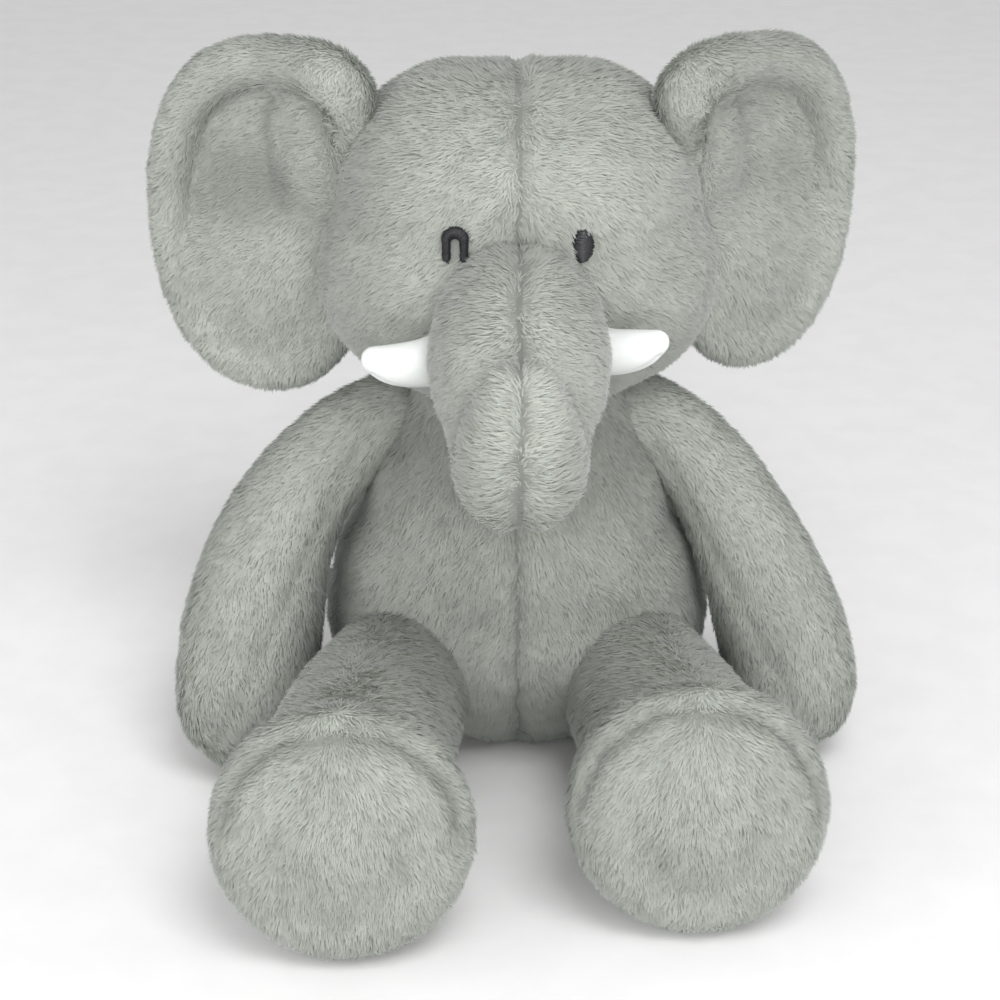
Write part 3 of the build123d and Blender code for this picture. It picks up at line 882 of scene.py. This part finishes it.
class PLUSH_OT_eyes(ToyBuilder):
    """Embroiders the eyes in black satin stitch"""
    bl_idname = "plush.eyes"
    bl_label = "Eyes"

    def execute(self, context):
        form = bpy.data.meshes["head_form"]
        skin = BVHTree.FromPolygons([v.co.copy() for v in form.vertices],
                                    [tuple(p.vertices) for p in form.polygons])
        for name, sign in SIDES.items():
            rng = np.random.default_rng(5 + sign)
            bm = bmesh.new()
            if sign < 0:
                self.arch(bm, skin, sign, rng)
            else:
                self.oval(bm, skin, sign, rng)
            bmesh.ops.recalc_face_normals(bm, faces=bm.faces)
            mesh = bpy.data.meshes.new(f"eye_{name}_stitches")
            bm.to_mesh(mesh)
            bm.free()
            for polygon in mesh.polygons:
                polygon.use_smooth = True
            piece = finished(f"eye_{name}_stitches", mesh, bpy.data.materials["eye_thread"])
            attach(piece, "head")
            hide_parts(f"eye_{name}")
        return {"FINISHED"}

    def on_skin(self, skin, x, z):
        """The point of the face behind x and z in millimetres."""
        hit = skin.ray_cast(Vector((x * MM, -0.2, z * MM)), Vector((0, 1, 0)))[0]
        if hit is None:
            raise RuntimeError("an eye stitch misses the face")
        return hit

    def rod(self, bm, points, radii, sides):
        """A closed round rod along points; the radii are in metres."""
        rings = []
        for i, (point, radius) in enumerate(zip(points, radii)):
            along = (points[min(i + 1, len(points) - 1)] - points[max(i - 1, 0)]).normalized()
            side = along.cross(Vector((0, 1, 0.03))).normalized()
            up = side.cross(along)
            rings.append([bm.verts.new(point + (side * math.cos(a) + up * math.sin(a)) * radius)
                          for a in np.linspace(0, 2 * math.pi, sides, endpoint=False)])
        for near, far in zip(rings, rings[1:]):
            for i in range(sides):
                bm.faces.new((near[i], near[(i + 1) % sides], far[(i + 1) % sides], far[i]))
        bm.faces.new(rings[0][::-1])
        bm.faces.new(rings[-1])

    def arch(self, bm, skin, sign, rng):
        """An upside-down U: a padded core with stitches laid over it."""
        spine, radii = [], []
        for t in np.linspace(0, 1, 49):
            if 0.3 < t < 0.7:
                a = math.pi * (0.7 - t) / 0.4
                x, z = 3.2 * math.cos(a), 2.1 + 3.0 * math.sin(a)
            else:
                x = -3.2 if t < 0.5 else 3.2
                z = 2.1 - 7.6 * (0.3 - min(t, 1 - t)) / 0.3
            spine.append((sign * EYE[0] + x, EYE[1] + z))
            radii.append((1.4 + 0.8 * max(0.0, math.cos(math.pi * (t - 0.5) / 0.6)) ** 2) * MM)
        core = [self.on_skin(skin, x, z) + Vector((0, -0.9 * MM, 0)) for x, z in spine]
        self.rod(bm, core, radii, 10)
        for i in range(1, len(core) - 1):
            for _ in range(2):
                along = (core[i + 1] - core[i - 1]).normalized()
                side = along.cross(Vector((0, 1, 0))).normalized()
                shift = along * rng.uniform(-0.25, 0.25) * MM
                reach = radii[i] + rng.normal(0.10, 0.05) * MM
                arc = [core[i] + shift + (side * math.cos(a) + Vector((0, -1, 0)) * math.sin(a)) * reach
                       for a in np.linspace(0.05, math.pi - 0.05, 8)]
                self.rod(bm, arc, [THREAD_RADIUS] * 8, 5)
        for end in (core[0], core[-1]):
            for _ in range(5):
                drop = Vector((rng.normal(0, 0.5), -0.3, -rng.uniform(0.6, 1.5))) * MM
                start = end + Vector((rng.normal(0, 0.5), -0.3, 0.6)) * MM
                self.rod(bm, [start, start + drop * 0.6, start + drop * 1.2], [THREAD_RADIUS] * 3, 5)

    def oval(self, bm, skin, sign, rng):
        """A filled upright oval of stitches, laid side to side and raised in the middle."""
        middle_x, middle_z = sign * EYE[0], EYE[1]
        for t in np.linspace(-0.96, 0.96, 44):
            half = 3.5 * math.sqrt(1 - t * t) + 0.25
            for _ in range(2):
                slant, shift = rng.normal(0, 0.35), rng.uniform(-0.2, 0.2)
                arc = []
                for u in np.linspace(-1, 1, 9):
                    wide = half + (rng.normal(0.1, 0.25) if abs(u) == 1 else 0)
                    x, z = middle_x + u * wide, middle_z + t * 6.0 + slant * u + shift
                    rise = 1.9 * math.sqrt(max(0.0, 1 - u * u)) - 0.2
                    arc.append(self.on_skin(skin, x, z) + Vector((0, -rise * MM, 0)))
                self.rod(bm, arc, [THICK_THREAD_RADIUS] * 9, 5)


class PLUSH_OT_stage(ToyBuilder):
    """Sets the floor, the soft studio light and the camera"""
    bl_idname = "plush.stage"
    bl_label = "Stage"

    def execute(self, context):
        nodes = Nodes("stage_paper")
        place = nodes.add("ShaderNodeTexCoord", None, None, 3)
        grain = nodes.add("ShaderNodeTexNoise", None, {"Vector": place, "Scale": 40.0})
        shade = nodes.add("ShaderNodeValToRGB", {"stops": (
            (0.4, (0.86, 0.86, 0.86)), (0.6, (0.88, 0.88, 0.88)))}, {0: grain})
        nodes.surface(Base_Color=shade, Roughness=0.9)
        bm = bmesh.new()
        floor_half_width = 25.0
        bmesh.ops.create_grid(bm, x_segments=1, y_segments=1, size=floor_half_width)
        mesh = bpy.data.meshes.new("floor")
        bm.to_mesh(mesh)
        bm.free()
        floor = finished("floor", mesh, nodes.material)
        world = bpy.data.worlds.new("studio")
        world.use_nodes = True
        sky = world.node_tree.nodes["Background"]
        sky.inputs["Color"].default_value = (1, 1, 1, 1)
        sky.inputs["Strength"].default_value = 0.58
        context.scene.world = world
        for name, spot, size, power in (
                ("key", (0.35, -0.85, 1.4), 0.8, 12.0),
                ("fill", (-0.9, -1.2, 0.55), 1.2, 7.0),
                ("front", (0.3, -1.7, 0.45), 1.2, 17.0)):
            light = bpy.data.lights.new(name, "AREA")
            light.size = size
            light.energy = power
            lamp = bpy.data.objects.new(name, light)
            context.collection.objects.link(lamp)
            lamp.location = spot
            aim = Vector((0, -0.05, 0.12)) - lamp.location
            lamp.rotation_euler = aim.to_track_quat("-Z", "Y").to_euler()
        tilt, distance = math.radians(24), 0.95
        target = Vector((-0.0068, 0, 0.08886))
        camera = bpy.data.cameras.new("camera")
        camera.lens = 85.5
        camera.sensor_width = 36
        eye = bpy.data.objects.new("camera", camera)
        context.collection.objects.link(eye)
        eye.location = target + Vector((0, -distance * math.cos(tilt), distance * math.sin(tilt)))
        eye.rotation_euler = (target - eye.location).to_track_quat("-Z", "Y").to_euler()
        context.scene.camera = eye
        context.scene.view_settings.view_transform = "Standard"
        return {"FINISHED"}


class PLUSH_PT_panel(bpy.types.Panel):
    """The toy's builders in the sidebar"""
    bl_label = "Plush elephant"
    bl_space_type = "VIEW_3D"
    bl_region_type = "UI"
    bl_category = "Plush"

    def draw(self, context):
        for operator in BUILDERS:
            self.layout.operator(operator.bl_idname)
        for key in PlushSettings.__annotations__:
            self.layout.prop(context.scene.plush, key)


BUILDERS = (PLUSH_OT_materials, PLUSH_OT_body, PLUSH_OT_head, PLUSH_OT_trunk, PLUSH_OT_ears, PLUSH_OT_arms,
            PLUSH_OT_legs, PLUSH_OT_tail, PLUSH_OT_tusks, PLUSH_OT_eyes, PLUSH_OT_stage)


def register():
    for cls in (PlushSettings, *BUILDERS, PLUSH_PT_panel):
        bpy.utils.register_class(cls)
    bpy.types.Scene.plush = PointerProperty(type=PlushSettings)


def unregister():
    del bpy.types.Scene.plush
    for cls in reversed((PlushSettings, *BUILDERS, PLUSH_PT_panel)):
        bpy.utils.unregister_class(cls)


def main():
    register()
    for operator in BUILDERS:
        group, name = operator.bl_idname.split(".")
        getattr(getattr(bpy.ops, group), name)()


if __name__ == "__main__":
    main()
